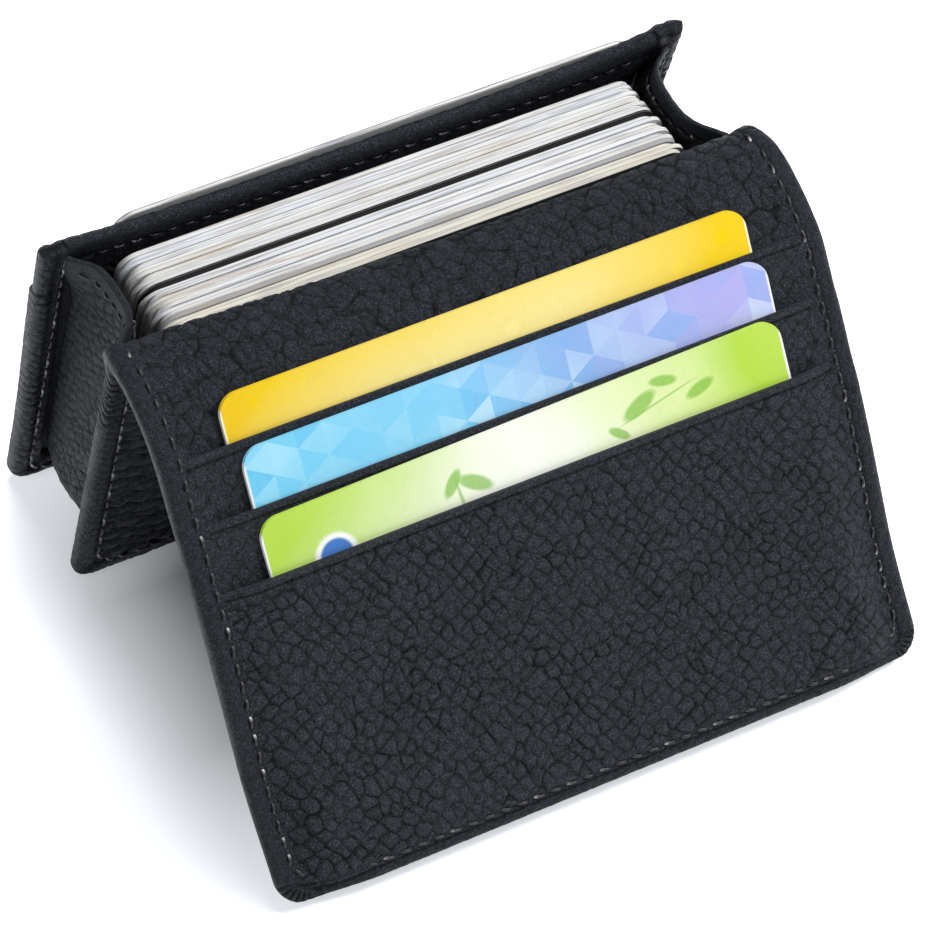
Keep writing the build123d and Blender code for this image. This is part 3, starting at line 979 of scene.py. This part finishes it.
def gusset():
    """The leather, with its hemmed and rounded upper ends, and the cloth that lines it."""
    parts = np.concatenate([spaced(0, 1, 0.006), spaced(1, 1.12, 0.012)[1:], spaced(1.12, 1.88, 0.006)[1:],
                            spaced(1.88, 2, 0.012)[1:], spaced(2, 3, 0.006)[1:]])
    vs = spaced(0, 1, 0.018)
    for name, inset, thick, rough, strip, material in (
            ("gusset_leather", 0.0, 0.85, 1, parts, black_leather),
            ("gusset_cloth", -0.95, 0.35, 0, spaced(0.07, 2.93, 0.02), lining_twill)):
        v, part = np.meshgrid(vs, strip)
        reach = np.minimum(part, 3 - part)
        hem = 0.25 * rough * (1 - smooth(HEM_REACH, 0.07, reach))
        soft = -0.4 * rough * rounding(reach, 0.008)
        bumps, mask = grain(part * WEB_LENGTH, v * WEB_DEPTH, 571, 2.2, 0.16)
        calm = rough * (0.3 + 0.7 * smooth(0.06, 0.1, reach))
        outer = web_place(part, v, inset + hem + soft + bumps * calm)
        under_v, part = np.meshgrid(vs[::-4], strip)
        inner = web_place(part, under_v, inset - thick - soft[:, :1] + 0 * part)
        rings = np.concatenate([outer, inner], axis=1)
        # The mask paints shade into the leather's creases, and a little painted shade on the under face.
        masks = np.concatenate([mask * calm, 0.2 + 0 * under_v], axis=1)
        replaced = ("left_gusset", "right_gusset", "base_gusset") if rough else (
            "left_gusset_lining", "right_gusset_lining", "base_lining")
        across_gusset(finish_piece(skin(name, rings, masks), material, *replaced))


# ---- stitches ----

def stitch_run(points):
    """Even stitches along a line of points: where they start and end, in the line's own units."""
    points = np.asarray(points, float)
    run = np.concatenate([[0], np.cumsum(np.hypot(*np.diff(points, axis=0).T))])
    pitch, half = 2.75, 0.92
    count = int(run[-1] // pitch)
    at = (np.arange(count) + 0.5) * run[-1] / count

    def where(s):
        return np.stack([np.interp(s, run, axis) for axis in points.T], axis=-1)

    return where(at - half), where(at + half)


def round_sides(x, top, foot, cut, low_x=None):
    """Down the left, along the foot and up the right, with its corners cut off: cut is (x, s)."""
    low_x = x if low_x is None else low_x
    left = [(-x, top), (-low_x, foot + cut[1]), (-low_x + cut[0], foot)]
    return left + [(-x, s) for x, s in left[::-1]]


def sew(name, runs, seed):
    """Thread bars between pairs of points: runs is a list of (starts, ends, normals)."""
    thick = 0.23
    rng = np.random.default_rng(seed)
    starts, ends, normals = (np.concatenate(parts) for parts in zip(*runs))
    count = len(starts)
    along = ends - starts
    normals = normals / np.linalg.norm(normals, axis=1, keepdims=True)
    side = np.cross(along, normals)
    side /= np.linalg.norm(side, axis=1, keepdims=True)
    slant = rng.uniform(0.1, 0.32, (count, 1))
    starts, ends = starts - side * slant * 0.5, ends + side * slant * 0.5
    # Along each stitch: how far, how thick and how high. Its ends sink into the leather.
    t = np.array([0, 0.06, 0.2, 0.4, 0.6, 0.8, 0.94, 1.0])
    radius = thick * np.array([0.35, 0.8, 1.0, 1.05, 1.05, 1.0, 0.8, 0.35])
    lift = np.array([-0.32, -0.12, 0.06, 0.13, 0.13, 0.06, -0.12, -0.32])
    angle = np.linspace(0, 2 * pi, 8, endpoint=False)
    centre = (starts[:, None] + (ends - starts)[:, None] * t[None, :, None]
              + normals[:, None] * lift[None, :, None])
    twist = 1 + 0.12 * np.cos(3 * angle[None, :] + 9 * t[:, None])
    ring = (side[:, None, None] * np.cos(angle)[None, None, :, None]
            + normals[:, None, None] * np.sin(angle)[None, None, :, None] * 0.75)
    points = centre[:, :, None] + ring * (radius[:, None] * twist)[None, :, :, None]
    # Painted highlights: a share of the stitches get pale tips, stored in the crease attribute.
    highlight_share = 0.42
    pale = np.where(rng.random((count, 1)) < highlight_share, rng.uniform(0.35, 1.0, (count, 1)), 0.03)
    tip_highlight = np.array([1, 1, 0.4, 0.02, 0, 0, 0.1, 0.2])[None, :] * pale
    light = np.repeat(tip_highlight[:, :, None], len(angle), axis=2)
    return skin(name, points, light)


def on_track(track, line_points, height, shape, outwards=1, fit=None):
    """A run of stitches along (x, s) points on a track, at height(x, s) off it."""
    starts, ends = stitch_run(line_points)
    fit = fit or (lambda x, s: x)
    placed = [shape(track.place(fit(x, s), s, height(x, s))) for x, s in (starts.T, ends.T)]
    further = shape(track.place(fit(*starts.T), starts[:, 1], height(*starts.T) + outwards))
    return placed[0], placed[1], further - placed[0]


SEWN_X = SEAM_X + 0.1
FACE_OFF, BACK_OFF = 0.16, 0.02     # how far stitches lie off a soft and off a firm face


def flap_sewing():
    around = round_sides(SEWN_X, MID_S, SEAM_FOOT + 0.05, (2.6, 3.2))
    front = on_track(FACE, around, lambda x, s: rim_front(x, s) - FACE_OFF + 0.25 * (s < 3), bow)
    back = on_track(FACE, around, lambda x, s: rim_back(s) - BACK_OFF, bow, -1)
    across_flap_fold(finish_piece(sew("flap_stitches", [front, back], 3), thread, "flap_seam_stitches"))


def front_sewing():
    """Over the spine's sides, and all round the front wall's outer face."""
    runs = []
    for x in (-SEWN_X, SEWN_X):
        over = [(x, MID_S), (x, MOUTH_S + 0.5)]
        runs.append(on_track(FACE, over, lambda x, s: post_top(s) - FACE_OFF, bow, fit=narrowing))
    around = round_sides(SEWN_X, MID_S, FACE.total - 3.1, (2.6, -3), SEWN_X - 0.3)
    runs.append(on_track(FACE, around, lambda x, s: post_back(s) - BACK_OFF, bow, -1, narrowing))
    across_top_fold(finish_piece(sew("front_wall_stitches", runs, 5), thread))


def case_sewing():
    """Round the back wall's inner and outer faces, and along its two hems."""
    runs = []
    for depth, swell, sign, foot in (
            (BACK_FACE - 2.62, 0, -1, 2.4), (BACK_FACE + 0.45, POCKET_STEP, 1, 1.5)):
        def wall(points):
            x, z = points.T
            return np.stack([x, depth + swell * over_pocket(z) - z * tan(LEAN), z], axis=-1)

        starts, ends = stitch_run(round_sides(CASE_HALF - 2.45, WALL_TOP, foot, (2, 2)))
        normals = np.tile([0, sign * cos(LEAN), sign * sin(LEAN)], (len(starts), 1))
        runs.append((wall(starts), wall(ends), normals))
    for s, half in zip(HEMS, (45, 47)):
        hem = [(-half, s), (half, s)]
        runs.append(on_track(BACK, hem, lambda x, s: np.full(x.shape, BACK_OFF), ridge))
    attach(finish_piece(sew("case_stitches", runs, 7), thread, "case_seam_stitches"), "case")


def gusset_sewing():
    """A row along the hem of the gusset's upper edges, on both faces."""
    runs = []
    count = 7
    middle = 0.09 + 0.82 * (np.arange(count) + 0.5) / count
    for hem in (HEM_REACH, 3 - HEM_REACH):
        for out, sign in ((0.32, 1), (-1.25, -1)):
            starts, ends, centres, above = (
                web_place(hem + 0 * middle, middle + aside, out + lift + 0 * middle)
                for aside, lift in ((-0.04, 0), (0.04, 0), (0, 0), (0, sign)))
            runs.append((starts, ends, above - centres))
    across_gusset(finish_piece(sew("gusset_stitches", runs, 9), thread))


# ---- cards ----

CARD_W, CARD_H, CARD_PITCH = 85.6, 53.6, 0.78
UP_THE_FLAP = (0, sin(TILT), cos(TILT))
THROUGH_THE_CASE = (0, cos(LEAN), sin(LEAN))


def across(nodes, direction, origin=(0, 0, 0)):
    """Distance in mm along a direction from an origin, as a shader value."""
    offset = sum(a * b for a, b in zip(direction, origin))
    return nodes.minus(nodes.dot(nodes.place, tuple(d / MM for d in direction)), offset)


def band(nodes, value, centre, half, soft):
    """1 where a value is within half of a centre, with soft ends."""
    gap = nodes.math("ABSOLUTE", nodes.minus(value, centre))
    return nodes.range(gap, half + soft, half - soft)


class Print(Nodes):
    """A flap card's printed face, with u across and v up the card in mm from its lower left corner."""

    def __init__(self, node):
        super().__init__(node.replace("card", "print"))
        low, _ = box_mm(node)
        corner = (low[0], FOOT, 0)
        self.u = across(self, (1, 0, 0), corner)
        self.v = self.minus(across(self, UP_THE_FLAP, corner), low[2] / cos(TILT))

    def drift(self, size, sway):
        """Runs from 0 to 1 across the card, with a soft sway."""
        return self.plus(self.range(self.u, 0, 86), self.range(self.noise(size, 3), 0.3, 0.7, -sway, sway))

    def blob(self, centre, size, tilt=0.0, soft=0.25):
        """1 inside a tilted oval."""
        du, dv = self.minus(self.u, centre[0]), self.minus(self.v, centre[1])
        a = self.plus(self.times(du, cos(tilt)), self.times(dv, sin(tilt)))
        b = self.minus(self.times(dv, cos(tilt)), self.times(du, sin(tilt)))
        a, b = (self.math("POWER", self.math("DIVIDE", gap, half), 2.0)
                for gap, half in zip((a, b), size))
        return self.range(self.math("SQRT", self.plus(a, b)), 1 + soft, 1 - soft)

    def card(self, colour, rim=(0.86, 0.86, 0.84)):
        """The finished material: the print, with a pale core showing along the card's cut edge."""
        inside = self.times(band(self, self.u, CARD_W / 2, 42.5, 0.1),
                            band(self, self.v, CARD_H / 2, 26.6, 0.1))
        return self.shade({"Base Color": self.mix(inside, rim, colour),
                           "Roughness": self.range(self.noise(420, 6, 0.7), 0.35, 0.7, 0.22, 0.42),
                           "Normal": self.bump(self.noise(260, 2), 0.00006, 0.35),
                           "Coat Weight": 0.12, "Coat Roughness": 0.18, "Specular IOR Level": 0.2})


def yellow_print():
    face = Print("yellow_card")
    tone = face.ramp(face.drift(38, 0.12), (0.0, (0.86, 0.56, 0.004)), (0.28, (0.90, 0.64, 0.006)),
                     (0.62, (0.90, 0.66, 0.008)), (1.0, (0.90, 0.62, 0.004)))
    tone = face.tint(tone, face.blob((30, 44), (19, 8), 0.15, 0.8), 0.75, (0.93, 0.85, 0.42))
    tone = face.tint(tone, face.blob((56, 49), (14, 6), 0.1, 0.8), 0.5, (0.95, 0.88, 0.5))
    chips = face.add("TexVoronoi", {"Vector": face.place, "Scale": 160.0}, distance="MANHATTAN")
    tone = face.tint(tone, face.range(chips.outputs["Distance"], 0.25, 0.32), 0.12, (0.75, 0.5, 0.1))
    return face.card(tone, (0.9, 0.84, 0.6))


def blue_print():
    """Blue to lavender, in a net of pale and deep triangles."""
    face = Print("blue_card")
    drift = face.plus(face.range(face.u, 0, 86), face.times(face.range(face.v, 30, 54), 0.12))
    tone = face.ramp(drift, (0.0, (0.18, 0.62, 0.84)), (0.45, (0.24, 0.62, 0.86)),
                     (0.72, (0.30, 0.44, 0.78)), (1.0, (0.44, 0.42, 0.80)))
    triangle, numbers = 4.3, []
    for slant, weight in ((0, 12.9898), (60, 78.233), (120, 37.719)):
        a = radians(slant)
        along = face.plus(face.times(face.u, cos(a)), face.times(face.v, sin(a)))
        numbers.append(face.times(face.math("FLOOR", face.math("DIVIDE", along, triangle)), weight))
    chance = face.chance(face.plus(face.plus(numbers[0], numbers[1]), numbers[2]))
    spread = face.range(face.noise(34, 2), 0.4, 0.6, 0.1, 1.0)
    pale = face.times(face.range(chance, 0.45, 1.0, 0.0, 0.5), spread)
    deep = face.times(face.range(chance, 0.4, 0.0, 0.0, 0.42), spread)
    tone = face.mix(pale, tone, (0.72, 0.90, 0.97))
    return face.card(face.mix(deep, tone, (0.10, 0.45, 0.80)))


def green_print():
    """Green with a pale middle, two sprigs of leaves and a plain disc."""
    face = Print("green_card")
    tone = face.ramp(face.drift(30, 0.1), (0.0, (0.42, 0.66, 0.05)), (0.22, (0.55, 0.74, 0.16)),
                     (0.40, (0.84, 0.88, 0.62)), (0.55, (0.90, 0.91, 0.78)), (0.72, (0.70, 0.82, 0.30)),
                     (0.88, (0.45, 0.69, 0.07)), (1.0, (0.50, 0.70, 0.10)))
    tone = face.tint(tone, face.blob((38, 44), (22, 8), 0.2, 0.9), 0.6, (0.93, 0.94, 0.88))
    leaf = (0.20, 0.48, 0.03)
    for centre, size, tilt in (((30, 46.5), (2.2, 0.9), 0.9), ((33.5, 45.5), (2.8, 1.1), -0.5),
                               ((61, 47.5), (3.0, 1.2), 0.45), ((65.5, 49.8), (2.2, 0.8), -0.2),
                               ((71, 46.8), (2.4, 0.9), 0.3), ((57, 44.6), (1.8, 0.7), -0.6)):
        tone = face.tint(tone, face.blob(centre, size, tilt, 0.18), 0.75, leaf)
    for centre, size, tilt in (((31, 43), (0.28, 4.0), 0.12), ((64, 47), (6.5, 0.16), 0.22)):
        tone = face.tint(tone, face.blob(centre, size, tilt, 0.3), 0.6, leaf)
    for radius, colour in ((3.4, (0.90, 0.93, 0.86)), (2.6, (0.07, 0.20, 0.55))):
        tone = face.mix(face.blob((10.5, 42.6), (radius, radius), 0.0, 0.08), tone, colour)
    return face.card(tone)


def depth_range(node):
    """Nearest and furthest depth of an upright card or stack, in mm through the leaning case."""
    piece = bpy.data.objects[node]
    places = [piece.matrix_world @ corner.co for corner in piece.data.vertices]
    depths = [(place.y * cos(LEAN) + place.z * sin(LEAN)) / MM for place in places]
    return min(depths), max(depths)


def edge_print(node, tones, face, seed, dirt_and_gap_shade, rim, shadow):
    """Cards seen on edge: each has its own shade of colour, with thin dark lines between them, which are
    painted shade, and strata of dirt. The faces have a plain colour, and the cards beside the divider fade
    into its painted shadow."""
    nodes = Nodes(node + "_edges")
    low, high = depth_range(node)
    depth = nodes.minus(across(nodes, THROUGH_THE_CASE), low)
    count = max(1, round((high - low) / CARD_PITCH))
    card = nodes.math("DIVIDE", depth, (high - low) / count)
    chance = nodes.chance(nodes.plus(nodes.math("FLOOR", card), 3.7 * seed))
    tone = nodes.ramp(chance, *[(k / max(1, len(tones) - 1), c) for k, c in enumerate(tones)])
    middle_gap = nodes.math("ABSOLUTE", nodes.minus(nodes.math("FRACT", card), 0.5))
    layered = nodes.add("Mapping", {"Vector": nodes.place, "Scale": (0.03, 1.0, 0.3)}).outputs[0]
    strata = nodes.noise(2600, 3, 0.55, layered)
    patches = nodes.range(nodes.noise(60, 2), 0.38, 0.58)
    dirt = nodes.times(nodes.range(strata, 0.50, 0.62), patches)
    tone = nodes.tint(tone, dirt, dirt_and_gap_shade, (0.36, 0.27, 0.17))
    streaks = nodes.range(nodes.noise(3300, 2, 0.5, layered), 0.46, 0.36)
    tone = nodes.tint(tone, streaks, dirt_and_gap_shade, (0.30, 0.31, 0.36))
    # Thin dark lines at the cards' faces: painted shade where stacked cards meet, and on the lone ID card
    # the darker lines along both sides of its edge.
    tone = nodes.tint(tone, nodes.range(middle_gap, rim, 0.5), dirt_and_gap_shade, (0.12, 0.11, 0.12))
    if shadow:
        tone = nodes.mix(nodes.range(depth, *shadow), tone, (0.004, 0.004, 0.005))
    through = nodes.math("ABSOLUTE", nodes.dot(nodes.normal, THROUGH_THE_CASE))
    return nodes.shade({"Base Color": nodes.mix(nodes.range(through, 0.7, 0.9), tone, face),
                        "Roughness": 0.6, "Specular IOR Level": 0.12,
                        "Normal": nodes.bump(strata, 0.00005, 0.5)})


def dress_cards():
    whites = ((0.68, 0.68, 0.67), (0.60, 0.62, 0.66), (0.74, 0.73, 0.71), (0.63, 0.61, 0.57),
              (0.62, 0.64, 0.68), (0.72, 0.72, 0.72))
    cream = ((0.64, 0.61, 0.53), (0.68, 0.66, 0.60), (0.58, 0.55, 0.47))
    dark = ((0.003, 0.003, 0.004), (0.005, 0.005, 0.006))
    grey = ((0.28, 0.28, 0.29), (0.38, 0.38, 0.39))
    pale = ((0.74, 0.74, 0.73), (0.70, 0.71, 0.73))
    white_face = (0.64, 0.64, 0.63)
    for node, tones, face, seed, dirt_and_gap_shade, rim, shadow in (
            ("rear_stack_cards", whites, white_face, 2, 0.6, 0.3, (0.22, 0.14)),
            ("front_stack_cards", whites, white_face, 1, 0.6, 0.3, (5.25, 5.3)),
            ("cream_stack_cards", cream, (0.10, 0.11, 0.12), 5, 0.6, 0.3, None),
            ("grey_card", grey, (0.30, 0.30, 0.31), 3, 0.6, 0.3, None),
            ("dark_divider_card", dark, (0.004, 0.004, 0.005), 4, 0.0, 0.3, None),
            ("id_card", pale, (0.72, 0.72, 0.71), 6, 0.85, 0.12, None)):
        dress(node, edge_print(node, tones, face, seed, dirt_and_gap_shade, rim, shadow))
    dress("yellow_card", yellow_print())
    dress("blue_card", blue_print())
    dress("green_card", green_print())


def dress(node, material):
    """Gives a CAD node a better material, through its material slots."""
    piece = bpy.data.objects[node]
    for slot in piece.material_slots:
        slot.material = material


for number in range(len(LAYERS)):
    slot_layer(number)
facing()
flap_binding()
flap_cover()
front_binding()
front_cover()
front_wall_sheets()
back_wall()
slip_pocket()
back_binding()
gusset()
flap_sewing()
front_sewing()
case_sewing()
gusset_sewing()
dress_cards()
for node in ("back_wall_lining", "upper_pocket_cloth", "middle_pocket_cloth"):
    dress(node, lining_twill)
for node in ("back_wall_board", "flap_board"):
    dress(node, board)
studio()
camera()
